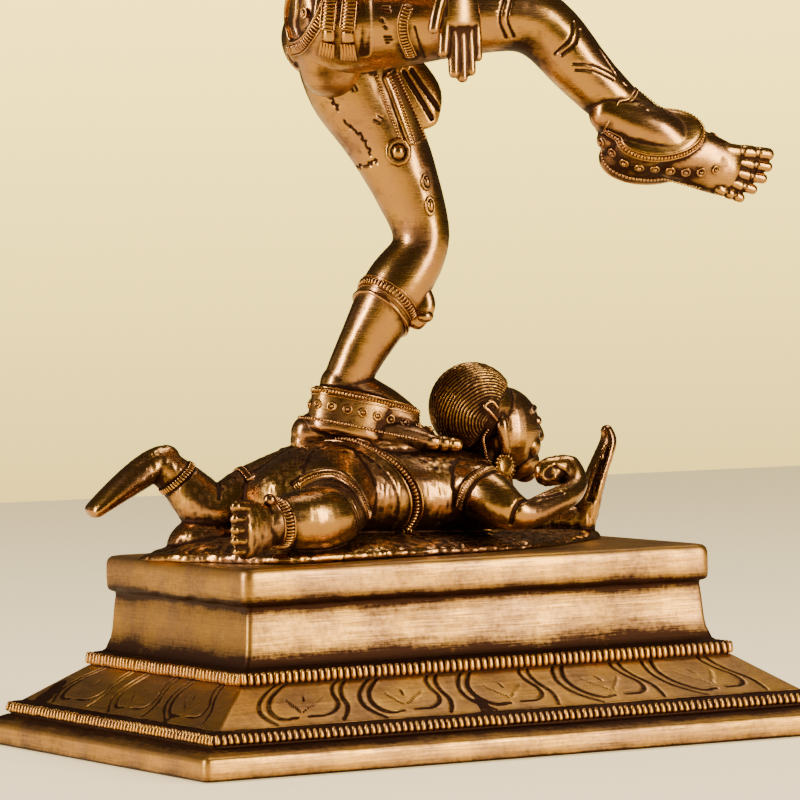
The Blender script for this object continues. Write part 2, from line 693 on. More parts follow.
def dwarf_body():
    curled = [(72, -31, 127, 6, 7), (62, -31, 126, 6, 7.5), (57, -31, 125, 4, 6)]
    parts = [
        limb(BED_ROWS, (0, 1, 0), 0.4, 24), limb(DWARF_TORSO, sides=16),
        limb(DWARF_NEAR_ARM), limb(curled), limb(DWARF_FAR_ARM), limb(SERPENT, (0, 1, 0)),
        limb(DWARF_NEAR_LEG), limb(DWARF_NEAR_FOOT, (0, 0, 1)),
        *digits((-123, -70, 118), (-122, -69, 98), DWARF_NEAR_TOES, 2.6),
        limb(DWARF_FAR_LEG), limb(DWARF_FAR_FOOT),
        lump((-50, -20, 123), (19, 17, 19)), lump((-95, 22, 96), (20, 17, 14)),
        lump((-16, 1, 139), (34, 19, 8)),
    ]
    piece = fuse("dwarf_body", parts, 0.65)
    places = read(piece)
    places[:, 2] = np.maximum(places[:, 2], SLAB_TOP + 0.3)
    write(piece, places)
    return piece


dwarf = dwarf_body()

# %% Dwarf head
def dwarf_head():
    neck = [(30, 0, 118, 15), (40, 0, 124, 14), (46, 0, 134, 13), (50, 0, 142, 12)]
    nose = [(68, 0, 154, 2.2), (71, 0, 149, 2.6), (73.5, 0, 144.5, 3.2), (74, 0, 141.5, 3.6)]
    parts = [
        limb(neck), lump((37.5, 0, 157), (20, 19.5, 20.5)), lump((54, 0, 145), (19, 17, 21.5)),
        lump((62, 0, 130), (11, 11, 9)), limb(nose, sides=8), lump((70.5, 0, 134.6), (3.2, 5.4, 1.9)),
        lump((70, 0, 131.2), (3, 4.6, 2)), lump((66, 0, 124.5), (5.5, 7, 5)),
    ]
    for side in (-1, 1):
        brow = [(63, side * 13, 154, 1.5), (67.5, side * 8, 156.5, 2.2), (69.5, side * 3, 154.5, 2)]
        ear = [(44, side * 16, 152, 3), (43, side * 18.5, 150, 3.4), (44, side * 18, 143, 3), (46, side * 17, 136, 2.6)]
        parts += [
            limb(brow, sides=8), lump((67.3, side * 7.8, 149.5), (3.4, 5, 3)), limb(ear, sides=8),
            lump((71.5, side * 3, 141), (3, 2.4, 2.4)), lump((63.5, side * 9, 138), (6, 5.5, 6)),
        ]
    return fuse("dwarf_head", parts, 0.45, 5)


dwarf_face = dwarf_head()

# %% [markdown]
# ## The dancer
# The dancer stands on the left leg, knee bent, while the right leg crosses in front. The weight, the
# tension in the calf and the slim knees come from many close sections along each leg. The arms float
# clear of the body. Legs and upper body are two pieces so that the lower half gets the finer grain.

# %% Dancer's legs
STANDING_LEG = [
    (-25, 8, 331, 24), (-22, 6, 311, 23), (-10, 1, 292, 19.8), (-3, -4, 274, 17.8), (3, -7, 256, 15.2),
    (8, -9, 239, 13.8), (3, -8, 228, 14.5), (-6, -6, 217, 16), (-11, -3, 206, 15.3), (-19, 1, 191, 13),
    (-27, 4, 176, 11.2), (-31, 7, 162, 11), (-34, 9, 152, 10),
]
STANDING_FOOT = [
    (-47, 11, 147, 9), (-38, 8, 149, 12.5), (-16, -1, 147, 13, 10), (-2, -7, 144, 13, 8),
    (6, -10, 142.5, 13, 6),
]
STANDING_TOES = [(17, -21, 140, 1.25), (18.5, -16, 139.6), (18, -11.5, 139.4, 0.95), (15.5, -7, 139.4, 0.9), (12, -2.6, 139.6, 0.85)]
RAISED_LEG = [
    (-41, -14, 339, 24), (-22, -32, 341, 23), (2, -48, 343, 20.5), (23, -58, 343, 18), (38, -63, 341, 17),
    (49, -68, 330, 15.5), (59, -72, 315, 13.8), (79, -78, 295, 11.5), (92, -80, 286, 11.4),
    (104, -82, 282, 9.5),
]
RAISED_FOOT = [
    (72, -74, 284, 7), (82, -79, 281, 10, 10), (95, -84, 278, 13, 12), (109, -88, 275, 14, 10),
    (119, -91, 270, 13.5, 7.5), (127, -93, 267, 12.5, 5.5),
]
RAISED_TOES = [(147, -96, 275, 1.25), (146, -97, 269), (143, -97, 263.5), (138, -96, 258.5, 0.95), (131.5, -95, 254.5, 0.9)]
STANDING_INSTEP = [(-31, 6, 171, 11), (-25, 4, 164, 12.5), (-14, 0, 157, 13), (-4, -3, 151, 11)]
RAISED_ANKLE = [(68, -79, 296, 10), (80, -83, 290, 12.2), (90, -85, 285, 13.2), (99, -87, 280, 12.2), (106, -88, 276.5, 9)]
STANDING_CUFF = ((-22, 4, 153.5), (0.24, 0, 0.97), (26, 16.5, 10))
RAISED_CUFF = ((93, -82, 280.5), (-0.25, -0.85, 0.45), (26, 15.5, 12))


def cuff(centre, axis, half, narrowing=1.0):
    """An anklet's drum: an oval ring round the foot, with its long side along the foot."""
    axis = unit(np.array(axis, float))
    across = unit(np.array((1, 0, 0)) - axis * axis[0])
    rows = []
    for share in (-0.5, -0.3, 0, 0.3, 0.5):
        size = 1 + (narrowing - 1) * (share + 0.5)
        rows.append((*(np.array(centre) + axis * share * 2 * half[2]), half[0] * size, half[1] * size))
    return limb(rows, across, 0.15, 20)


def dancer_legs():
    parts = [
        limb(STANDING_LEG), limb(STANDING_FOOT, (0.4, 0.9, 0)), lump((-46, 11, 143), (9, 8, 11)),
        *digits((3, -18.5, 142), (1, -1.5, 142), STANDING_TOES, 3.1),
        limb(RAISED_LEG), limb(RAISED_FOOT, (-0.25, 0, 1)), lump((-41, -3, 334), (20, 21, 20)),
        lump((106, -83, 281), (9, 8.5, 8.5)),
        *digits((124, -94, 277), (120, -93, 259), RAISED_TOES, 3.1),
        cuff(*STANDING_CUFF), cuff(*RAISED_CUFF, 0.78), limb(STANDING_INSTEP), limb(RAISED_ANKLE),
    ]
    return fuse("dancer_legs", parts, 0.55)


legs = dancer_legs()

# %% Dancer's upper body
TORSO = [
    (-38, -4, 318, 17, 15, 50), (-38, -6, 332, 29, 20, 50), (-38.5, -6, 348, 30, 20.5, 50),
    (-40, -5, 364, 24, 18, 42), (-39, -5, 380, 20.5, 15.5, 34), (-36, -6, 398, 23, 16.5, 28),
    (-33, -8, 418, 29, 19, 22), (-31, -8, 438, 35, 20.5, 20), (-30, -7, 453, 38, 17.5, 20),
    (-29.5, -7, 464, 26, 13.5, 16), (-29, -8, 471, 12.5, 12, 10),
]
NECK = [(-29, -8, 466, 12), (-28, -9, 476, 10.5), (-27, -10, 488, 11)]
FRONT_RIGHT_ARM = [
    (-66, -20, 457, 13), (-76, -32, 446, 12.5), (-76, -54, 424, 11), (-73, -69, 409, 10),
    (-60, -75, 398, 10), (-22, -84, 365, 7), (-15, -85, 356, 6.5),
]
HANGING_HAND = [(-15, -85, 357, 7, 6), (-15, -86, 348, 10, 5), (-14.5, -86, 337, 11, 4.5)]
HANGING_TIPS = [(-24, -86, 323), (-19, -87, 313.5), (-14.5, -87, 311.5, 1.05), (-10, -87, 314.5), (-5.5, -86, 321, 0.9)]
FRONT_LEFT_ARM = [
    (8, 6, 457, 13), (21, 8, 447, 12.5), (38, -2, 424, 11), (49, -12, 406, 10), (55, -26, 408, 9.8),
    (64, -57, 441, 7), (65, -61, 449, 6.5),
]
BLESSING_HAND = [(65, -61, 448, 7, 6), (65.5, -65, 458, 10, 5), (66, -69, 468, 11.5, 4.5)]
BLESSING_TIPS = [(57, -72, 488), (61.5, -73, 494), (66, -73, 496, 1.05), (70.5, -72, 493.5), (75, -70, 487, 0.9)]
REAR_LEFT_ARM = [
    (2, 14, 456, 12), (18, 24, 452, 11.5), (50, 33, 444, 10.5), (78, 36, 441, 9.8), (92, 32, 450, 9.5),
    (118, 14, 500, 6.6), (121, 11, 508, 6.4),
]
REAR_RIGHT_ARM = [
    (-56, -2, 456, 12), (-76, 8, 452, 11.5), (-104, 20, 444, 10.5), (-126, 24, 440, 9.8),
    (-137, 20, 450, 9.5), (-143, 0, 500, 6.6), (-143.5, -2, 508, 6.4),
]
DRUM_HAND = [(121, 11, 507, 6.5), (123, 10, 516, 8, 9), (126, 9.5, 532, 6, 7)]
FLAME_HAND = [(-143.5, -2, 507, 6.5), (-145, -2, 515, 8, 9.5), (-146, -2, 521, 8.5, 9)]
FLAMES = [(-146, 562, 1), (-150, 552, -5), (-142, 552, 6)]


def drum():
    """A small hourglass drum held crosswise."""
    axis = unit(np.array((1, 0, 0.35)))
    shape = [(-13, 10.5), (-12, 10.5), (-6, 7), (0, 5), (6, 7), (12, 10.5), (13, 10.5)]
    rows = [(*(np.array((126, 9, 536)) + axis * run), half) for run, half in shape]
    return limb(rows, (0, 1, 0), 0.2, 16)


def flames():
    rows = [(0, 4.5, 4.5), (0.2, 5.5, 4.5), (0.7, 4, 3.2), (1, 1.2, 1)]
    made = []
    for x, tip, lean in FLAMES:
        made.append(limb([(x + lean * s * s, -2, 519 + (tip - 519) * s, w, d) for s, w, d in rows], sides=10))
    return made


def dancer_upper():
    parts = [
        limb(TORSO, sides=16), limb(NECK), lump((-17, -21, 441), (13, 9, 12)),
        lump((-45, -26, 441), (13, 9, 12)), lump((-39, -22, 372), (10, 6, 8)),
        limb(FRONT_RIGHT_ARM), limb(HANGING_HAND, (1, 0, 0)), limb(FRONT_LEFT_ARM),
        limb(BLESSING_HAND, (1, 0, 0)), limb(REAR_LEFT_ARM), limb(REAR_RIGHT_ARM),
        *digits((-22.5, -86, 340), (-6.5, -86, 340), HANGING_TIPS, 3, (1, 0, 0)),
        limb([(-24, -86, 350, 3.2), (-28, -87.5, 342, 3.2), (-30, -88, 334, 3)], sides=8),
        *digits((58, -70, 466), (74.5, -69, 466), BLESSING_TIPS, 2.9, (1, 0, 0)),
        limb([(73, -66, 455, 3.2), (79, -69, 461, 3.2), (83, -70, 468, 2.9)], sides=8),
        limb(DRUM_HAND), drum(), limb(FLAME_HAND), *flames(),
    ]
    return fuse("dancer_upper", parts, 0.85)


upper = dancer_upper()

# %% Dancer's head
def dancer_head():
    nose = [(-25, -30.5, 516, 2, 2), (-25, -33, 508, 2.6, 2.8), (-25, -34, 503, 3.3, 3)]
    parts = [
        lump((-26, -11, 511), (19.5, 21, 24.5)), lump((-25.5, -19, 496), (12.5, 12, 10.5)),
        limb(nose, sides=8), lump((-25, -30.6, 495.8), (5.4, 2.8, 1.5)), lump((-25, -30.2, 492.9), (4.4, 2.6, 1.5)),
        lump((-25, 6, 500), (15, 9, 20)),
    ]
    for side in (-1, 1):
        middle = -25 + side * 7.5
        ear = [(-26 + side * 19, -8, 514, 2.6), (-26 + side * 20, -8, 508, 3), (-26 + side * 19, -8, 500, 2.4)]
        locks = [(14, 6, 505, 6), (26, 10, 484, 5), (36, 12, 466, 4), (40, 8, 456, 3)]
        parts += [
            lump((middle, -28.5, 511.5), (5, 2.6, 2.4)), limb(ear, sides=8),
            limb([(-27 + side * x, y, z, r) for x, y, z, r in locks]),
            limb([(middle + side * 5, -27, 517, 1), (middle, -30, 518.5, 1.3), (middle - side * 5, -30.5, 516, 1)], sides=8),
        ]
    return fuse("dancer_head", parts, 0.7)


dancer_face = dancer_head()
CROWN = [
    (-26, -9, 522, 23), (-25.5, -9, 531, 23.5), (-25, -8.5, 537, 19), (-25, -8.5, 547, 20), (-25, -8, 553, 15),
    (-25, -8, 565, 16), (-25, -8, 571, 11), (-25, -8, 582, 11.5), (-25, -8, 596, 3.5),
]
CROWN_SIDES = 48


def crown():
    """Tiers of the crown, ribbed upright, up to a bud at the top."""
    levels = np.linspace(0, len(CROWN) - 1, 65)
    angle = np.linspace(0, 2 * math.pi, CROWN_SIDES * 2, endpoint=False)
    rings = []
    for level in levels:
        x, y, z, half = [np.interp(level, range(len(CROWN)), [row[c] for row in CROWN]) for c in range(4)]
        tier = abs(math.sin(level * math.pi / 2))
        ripple = 1 + 0.035 * tier * np.cos(angle * 16) + 0.03 * math.cos(level * math.pi * 4)
        ripple *= 1 if level < len(CROWN) - 1.2 else 0.8
        rings.append(np.c_[x + half * ripple * np.cos(angle), y + half * ripple * np.sin(angle), np.full(len(angle), z)])
    return lay(stack("crown", len(angle), len(rings)), rings)


crown_piece = crown()
print("crown", triangles(crown_piece), "triangles")

# %% [markdown]
# ## Finding places on the figures
# Jewellery follows the limb it is worn on. A bangle is where a plane cuts the limb; three points seen in
# the photograph fix that plane. A chased mark is where the line of sight meets the skin. Each line
# keeps its normals, so a bead set on it stands square to the skin, on every side of the statue.

# %% Finding places
def first_hit(trees, origin, direction):
    """The nearest hit among several skins, as place in mm and normal."""
    best = None
    for tree in trees:
        place, normal, _, distance = tree.ray_cast(origin, direction)
        if place is not None and (best is None or distance < best[0]):
            best = (distance, np.array((*(place / MM), *normal)))
    return None if best is None else best[1]


def closest(trees, place):
    found = [tree.find_nearest(Vector(place) * MM) for tree in trees]
    near, normal, _, _ = min(found, key=lambda hit: hit[3])
    return np.array((*(near / MM), *normal))


def around(trees, centre, axis, step=0.5, rays=180):
    """The closed line where a plane through a limb's centre cuts its skin."""
    axis = Vector(axis).normalized()
    first = axis.orthogonal().normalized()
    second = axis.cross(first)
    hits = []
    for k in range(rays):
        angle = 2 * math.pi * k / rays
        hit = first_hit(trees, Vector(centre) * MM, first * math.cos(angle) + second * math.sin(angle))
        if hit is not None:
            hits.append(hit)
    hits = np.array(hits)
    reach = np.linalg.norm(hits[:, :3] - centre, axis=1)
    hits = hits[reach < 1.7 * np.median(reach)]
    for _ in range(3):
        hits = (np.roll(hits, 1, axis=0) + 2 * hits + np.roll(hits, -1, axis=0)) / 4
    return even(hits, step, True)


def bangle(trees, pixels, centre, step=0.5):
    """The closed line round a limb through the three points of its skin seen at these pixels."""
    a, b, c = (first_hit(trees, *photo_ray(*pixel))[:3] for pixel in pixels)
    axis = unit(np.cross(b - a, c - b))
    middle = np.array(centre) - axis * ((np.array(centre) - a) @ axis)
    return around(trees, middle, axis, step)


def seen(trees, pixels, step=0.5, jump=7.0, shake=0.0):
    """The line on the skin under a line drawn through pixels of the photograph, shaken a little."""
    hits = []
    for k, (x, y) in enumerate(curve(pixels, 40 + 12 * len(pixels))):
        hit = first_hit(trees, *photo_ray(x + shake * wave(k, 4, 61), y + shake * wave(k, 4, 62)))
        if hit is not None and (not hits or np.linalg.norm(hit[:3] - hits[-1][:3]) < jump):
            hits.append(hit)
    return even(hits, step, False)


def beside(trees, line, shift):
    """The same line moved `shift` mm to its side and laid on the skin again."""
    side = np.cross(line["out"], line["along"])
    hits = np.array([closest(trees, place) for place in line["at"] + side * shift])
    return {**line, "at": hits[:, :3], "out": unit(hits[:, 3:])}


def spaced(line, pitch):
    return even(np.c_[line["at"], line["out"]], pitch, line["closed"])


# %% Rows of jewellery
def ring_shape():
    """A small ring to lie flat on the skin, modelled once."""
    bpy.ops.object.select_all(action="DESELECT")
    bpy.ops.mesh.primitive_torus_add(major_segments=10, minor_segments=5, major_radius=0.74, minor_radius=0.26)
    ring = bpy.context.active_object
    corners = read(ring) * MM
    faces = [tuple(face.vertices) for face in ring.data.polygons]
    bpy.data.objects.remove(ring)
    return corners, faces


RING = ring_shape()


def beads(line, pitch, half, lift=0.2):
    return row_of(BEAD, spaced(line, pitch), (pitch * 0.5, half, half * 0.85), lift)


def ribs(line, pitch, half, height=0.8, lift=0.1):
    return row_of(TOOTH, spaced(line, pitch), (pitch * 0.36, half, height), lift)


def rosettes(line, pitch, half, pick=None):
    """Small flowers: a raised ring, a boss inside it."""
    stops = spaced(line, pitch)
    ring = row_of(RING, stops, (half, half, half * 0.8), 0.2, pick=pick)
    boss = row_of(BEAD, stops, (half * 0.42, half * 0.42, half * 0.55), 0.2, pick=pick)
    return [ring, boss]


def grain(places, size, seed, stretch=(1, 1, 1)):
    """Smooth noise between -1 and 1 through space, with cells of this size in mm."""
    dice = np.random.default_rng(seed)
    table = dice.uniform(-1, 1, 8192)
    cell = places / (size * np.array(stretch)) + 500
    base = np.floor(cell).astype(int)
    u = cell - base
    u = u * u * (3 - 2 * u)
    total = np.zeros(len(places))
    for corner in np.ndindex(2, 2, 2):
        share = np.prod(np.where(corner, u, 1 - u), axis=1)
        total += share * table[(base + corner) @ (1, 61, 3607) % 8192]
    return total


def rubbed(places, spots):
    """How much each point is polished by hands: near these centres, fading with distance."""
    shine = np.zeros(len(places))
    for x, y, z, reach in spots:
        far = np.linalg.norm(places - (x, y, z), axis=1) / reach
        shine = np.maximum(shine, np.clip(1.35 - far, 0, 1))
    return shine


# %% [markdown]
# ## Chasing the dwarf
# The dwarf is the dark part of the casting: chisel marks cover the back, cloth is cut in rings round
# the hip, and only knee and forearm are rubbed bright. The belt is a row of long beads between rails.
# Grooves go into the skin; beads and ribs are set on it.

# %% Dwarf: marks in the skin
POLISHED = [
    (-62, -46, 116, 20), (-78, -60, 112, 17), (-94, -62, 111, 12), (22, -44, 118, 15), (32, -54, 110, 11),
    (50, -50, 112, 10), (66, -44, 115, 10), (74, -36, 124, 10), (30, -28, 134, 13), (-12, -30, 128, 8),
    (-140, 34, 120, 16), (-100, 25, 121, 9), (118, 8, 140, 9),
]
HIP_HEM = [(296, 488), (306, 479), (319, 474), (331, 473), (341, 476), (356, 488), (366, 505), (371, 522), (371, 536)]
SHOULDER_HEM = [(459, 508), (461, 499), (466, 487), (475, 476), (486, 470), (494, 468)]
FOREARM_EDGE = [(511, 524), (514, 512), (520, 502), (530, 498), (545, 496), (562, 492)]
PALM_HOLLOW = [(549, 474), (556, 470), (563, 477), (566, 487)]
SERPENT_FOLDS = [[(592, 500), (601, 470), (607, 448)], [(588, 500), (594, 480), (600, 462)]]

dwarf_tree = [tree_of(dwarf)]
belt = bangle(dwarf_tree, [(387, 458), (412, 485), (412, 522)], (-12, -4, 118))
hip_hem = seen(dwarf_tree, HIP_HEM)
shoulder_hem = seen(dwarf_tree, SHOULDER_HEM)
near_ankle = around(dwarf_tree, (-101, -59.5, 110), (1, 0.1, 0.12))
far_ankle = around(dwarf_tree, (-107, 30, 128), (-0.7, 0.15, 0.8))
far_thigh = around(dwarf_tree, (-76, 18.5, 118.5), (1, -0.15, 0.25))
print("belt", len(belt["at"]) / 2, "mm, hip hem", len(hip_hem["at"]) / 2, "mm")


def chase_dwarf():
    places, out = read(dwarf), read(dwarf, "normal")
    smooth = rubbed(places, POLISHED)
    chisel = grain(places, 1.0, 31, (1, 1, 3.5)) * 0.2 + grain(places, 2.6, 32) * 0.12
    bed = np.clip((103 - places[:, 2]) / 8, 0, 1)
    lumps = grain(places, 7, 33) * 0.6 + grain(places, 3, 34) * 0.4
    rise = (1 - smooth) * (chisel + bed * lumps)
    places += out * np.where(places[:, 2] < SLAB_TOP + 1, 0, rise)[:, None]
    places[:, 2] = np.maximum(places[:, 2], SLAB_TOP + 0.3)
    write(dwarf, places)
    rings = [beside(dwarf_tree, hip_hem, shift) for shift in (-4.2, -5.8, -7.6, -9.4, -11.4, -13.4)]
    emboss(dwarf, rings, 0.35, -0.55)
    emboss(dwarf, [beside(dwarf_tree, hip_hem, 3.0)], 0.5, -0.6)
    emboss(dwarf, [beside(dwarf_tree, belt, -7.2)], 2.6, 0.5)
    emboss(dwarf, [belt], 2.2, -0.6)
    emboss(dwarf, [beside(dwarf_tree, shoulder_hem, s) for s in (2.6, -2.9)], 0.5, -0.7)
    emboss(dwarf, [near_ankle, far_ankle, far_thigh], 2.0, -0.5)
    emboss(dwarf, [seen(dwarf_tree, FOREARM_EDGE)], 0.9, -1.2)
    emboss(dwarf, [seen(dwarf_tree, PALM_HOLLOW)], 1.6, -0.9, 1.5)
    emboss(dwarf, [seen(dwarf_tree, fold) for fold in SERPENT_FOLDS], 0.8, -1.0)


chase_dwarf()


# %% Dwarf: beads and ribs
def dwarf_jewellery():
    parts = [
        beads(belt, 1.7, 1.75, 0.1), rail(beside(dwarf_tree, belt, -3.4), 0.9), rail(beside(dwarf_tree, belt, 3.2), 0.8),
        ribs(hip_hem, 1.25, 1.5, 0.7), rail(beside(dwarf_tree, hip_hem, -2.3), 0.5), rail(beside(dwarf_tree, hip_hem, 2.1), 0.5),
        ribs(shoulder_hem, 1.3, 1.7, 0.8), rail(beside(dwarf_tree, shoulder_hem, 2.0), 0.5),
        ribs(near_ankle, 1.6, 1.9, 0.9), ribs(far_ankle, 1.5, 1.6, 0.7), ribs(far_thigh, 1.5, 1.7, 0.7),
        rail(beside(dwarf_tree, near_ankle, 2.4), 0.5), rail(beside(dwarf_tree, near_ankle, -2.4), 0.5),
        lump((-106, -62, 120.5), (3, 3, 3)),
    ]
    return gather("dwarf_jewellery", parts)


dwarf_gold = dwarf_jewellery()
print("dwarf jewellery", triangles(dwarf_gold), "triangles")

# %% [markdown]
# ## Chasing the dwarf's head
# The hair is combed in strands that circle the ear. Their spacing is a wave of the distance from the
# ear, so they flow over the skull without a single drawn line, and the same on both sides.

# %% Dwarf: hair
EAR_CENTRE = (36.5, 19, 150)
HAIR_FRONT = [(134, 32), (142, 33.5), (150, 35), (158, 40), (164, 46), (168, 52), (175, 54)]
STRAND = 1.45


def chase_head():
    places, out = read(dwarf_face), read(dwarf_face, "normal")
    mirrored = places * (1, 0, 1) + np.abs(places) * (0, 1, 0)
    far = np.linalg.norm(mirrored - EAR_CENTRE, axis=1) + 0.5 * grain(places, 6, 41)
    front = np.interp(places[:, 2], *zip(*HAIR_FRONT))
    hair = np.clip((front - places[:, 0]) / 1.5, 0, 1) * np.clip((places[:, 2] - 132) / 4, 0, 1)
    strands = 0.42 * np.cos(far * 2 * math.pi / STRAND) * np.clip(far / 6, 0.3, 1)
    places += out * (hair * (0.9 + strands + 0.15 * grain(places, 1.2, 42)))[:, None]
    write(dwarf_face, places)


head_tree = [tree_of(dwarf_face)]
chase_head()


# %% Dwarf: ears and collar
def ear_disc(side):
    """A spiral disc in a ring of petals, worn low on the ear."""
    centre = np.array((46, side * 15.2, 128.5))
    facing = unit(np.array((0.25, side, 0.1)))
    first = unit(np.cross((0, 0, 1), facing))
    second = np.cross(facing, first)

    def circle(radius, turns=1, lift=1.2):
        angle = np.linspace(0, 2 * math.pi * turns, 30 * turns, endpoint=turns > 1)
        size = radius * (angle / angle[-1] if turns > 1 else np.ones(len(angle)))
        at = centre + facing * lift + size[:, None] * (np.cos(angle)[:, None] * first + np.sin(angle)[:, None] * second)
        line = np.c_[at, np.tile(facing, (len(at), 1))]
        return even(line, 0.5, turns == 1)

    return [
        lump(centre, (1.8, 5.6, 5.6), facing), rail(circle(3.2, 2), 0.42), rail(circle(4.1), 0.45),
        row_of(TOOTH, spaced(circle(5.6, 1, 0.4), 2.0), (0.75, 1.1, 0.8)),
    ]


def head_jewellery():
    collar = around([*head_tree, *dwarf_tree], (38, -2, 121), (0.75, 0, 0.62))
    parts = [ribs(collar, 1.5, 1.5, 0.9), rail(beside([*head_tree, *dwarf_tree], collar, 2.2), 0.5)]
    for side in (-1, 1):
        parts += ear_disc(side)
        lock = [(36, side * 17.8, 146), (34.5, side * 18, 141), (36, side * 16.5, 135), (40, side * 15, 130)]
        hits = [closest(head_tree, place) for place in curve(lock, 30)]
        parts += [beads(even(hits, 0.5, False), 1.3, 1.1, 0.5)]
        curl = [(40, side * 19, 151), (36, side * 20, 155), (33, side * 20, 158), (37, side * 19, 160), (40, side * 18.5, 157)]
        hits = [closest(head_tree, place) for place in curve(curl, 30)]
        parts += [rail(even(hits, 0.5, False), 1.0, 0.6)]
    return gather("dwarf_head_jewellery", parts)


head_gold = head_jewellery()
print("head jewellery", triangles(head_gold), "triangles")

# %% [markdown]
# ## Chasing the dancer's legs
# The bare legs are smooth and brushed, with a few graver cuts. Round them sit the ornaments: a ribbed
# garter with a knot under the knee, heavy anklets with rosettes, and on the thigh the ends of the
# sash with its strings of beads, a large rosette and three pendants.

# %% Legs: marks in the skin
THIGH_RINGS = [[(504, -2), (500, 20), (506, 38)], [(512, -2), (508, 20), (514, 37)]]
KNEE_RINGS = [[(574, 22), (570, 38), (555, 54)], [(580, 30), (575, 43), (562, 55)]]
SHIN_CUTS = [
    [(573, 64), (593, 65), (615, 74)], [(575, 70), (593, 71), (613, 79)], [(602, 54), (609, 64), (616, 75)],
    [(600, 50), (607, 61), (613, 70)],
]
TICKS = [
    [(382, 7), (389, 7)], [(383, 10), (390, 11)], [(382, 19), (384, 22)], [(384, 26), (387, 28)],
    [(384, 37), (391, 37)], [(385, 40), (392, 40)], [(386, 43), (389, 43)], [(353, 83), (357, 90)],
    [(350, 86), (353, 91)], [(374, 120), (379, 122)], [(378, 116), (383, 119)], [(623, 83), (626, 86)],
    [(641, 106), (646, 109)],
]
SEAMS = [
    [(322, 85), (330, 97), (339, 110)], [(346, 123), (354, 129), (362, 137), (367, 146), (371, 155)],
    [(356, 167), (367, 165), (378, 160)],
]
BUTTOCK_HEM = [(290, 59), (300, 67), (314, 72), (330, 75), (345, 74), (358, 71)]

legs_tree = [tree_of(legs)]


def creases(trees, first_root, last_root, tips, half):
    """Narrow rings across fingers or toes at their joints and behind the nail."""
    rings = []
    for k, tip in enumerate(tips):
        share = k / (len(tips) - 1)
        root = np.array(first_root) * (1 - share) + np.array(last_root) * share
        end = np.array(tip[:3], float)
        for part in (0.3, 0.36, 0.66, 0.72):
            rings.append(around(trees, root + (end - root) * part, end - root, 0.4, 60))
    return [ring for ring in rings if len(ring["at"]) < 80]


def chase_legs():
    places, out = read(legs), read(legs, "normal")
    hammered = 0.14 * grain(places, 9, 51) + 0.05 * grain(places, 3.5, 52)
    write(legs, places + out * hammered[:, None])
    emboss(legs, [seen(legs_tree, line) for line in (*THIGH_RINGS, *KNEE_RINGS)], 0.42, -0.7, 0.5)
    emboss(legs, [seen(legs_tree, line) for line in SHIN_CUTS], 0.3, -0.5, 0.45)
    emboss(legs, [seen(legs_tree, line, 0.3) for line in TICKS], 0.3, -0.5, 0.4)
    emboss(legs, [seen(legs_tree, line, shake=2.2) for line in SEAMS], 0.3, -0.6, 0.4)
    emboss(legs, [seen(legs_tree, BUTTOCK_HEM, shake=2.5)], 0.8, -0.8, 0.8)
    toes = creases(legs_tree, (124, -94, 277), (120, -93, 259), RAISED_TOES, 3.1)
    toes += creases(legs_tree, (3, -18.5, 142), (1, -1.5, 142), STANDING_TOES, 3.1)
    emboss(legs, toes, 0.25, -0.4, 0.4)


chase_legs()


# %% Legs: garter and anklets
def garter():
    line = bangle(legs_tree, [(374, 281), (392, 290), (407, 304)], (-8, -4, 212))
    lower = beside(legs_tree, line, 5.6)
    if lower["at"][:, 2].mean() > line["at"][:, 2].mean():
        lower = beside(legs_tree, line, -5.6)
    knot = [(2, -12, 214, 6, 4), (5, -14, 206, 7, 5), (0, -12, 199, 5, 4)]
    return [
        ribs(line, 1.75, 1.7, 1.0, 0.3), rail(lower, 1.2, 0.3), rail(beside(legs_tree, line, 2.6), 0.5, 0.2),
        rail(beside(legs_tree, line, -2.6), 0.5, 0.2), limb(knot, (0.87, -0.49, 0)),
        lump((3, -17, 201.5), (3, 3, 4.2), (0, 0, 1)),
    ]


def anklet(centre, axis, half, narrowing):
    """A heavy ring with a beaded rim and a row of rosettes, on the drum round the foot."""
    centre, axis = np.array(centre), unit(np.array(axis, float))
    top, middle, low = (around(legs_tree, centre + axis * half[2] * share, axis) for share in (0.85, 0.15, -0.55))
    picked = rosettes(middle, 7.5, 2.6)
    return [
        beads(top, 1.6, 1.3, 0.2), rail(beside(legs_tree, top, 2.0), 0.5, 0.1),
        rail(beside(legs_tree, top, -2.0), 0.5, 0.1), *picked, beads(low, 1.7, 1.0, 0.1),
    ]


def leg_jewellery():
    parts = [*garter(), *anklet(*STANDING_CUFF, 1), *anklet(*RAISED_CUFF, 0.78)]
    return gather("leg_jewellery", parts)


leg_gold = leg_jewellery()
print("leg jewellery", triangles(leg_gold), "triangles")

# %% [markdown]
# ## Sash, tassels and beads
# At the hip the sash makes a bordered roundel and two ribbed straps that end in tassels. Over the
# standing thigh fall the sash's end and three strings of beads, beside a large rosette and pendants.
# Straps are limbs laid along a line on the skin; what repeats on them is set with the same rows.

# %% Straps
def strap(line, halves, thick, lift=0.4):
    """A flat strap along a line on the skin, its half widths spread over its length."""
    stops = spaced(line, max(1.5, len(line["at"]) / 2 / 7))
    halves = np.interp(np.linspace(0, 1, len(stops["at"])), np.linspace(0, 1, len(halves)), halves)
    side = np.cross(stops["out"], stops["along"]).mean(axis=0)
    rows = [(*(at + out * lift), half, thick) for at, out, half in zip(stops["at"], stops["out"], halves)]
    return limb(rows, side, 0.5, 8)


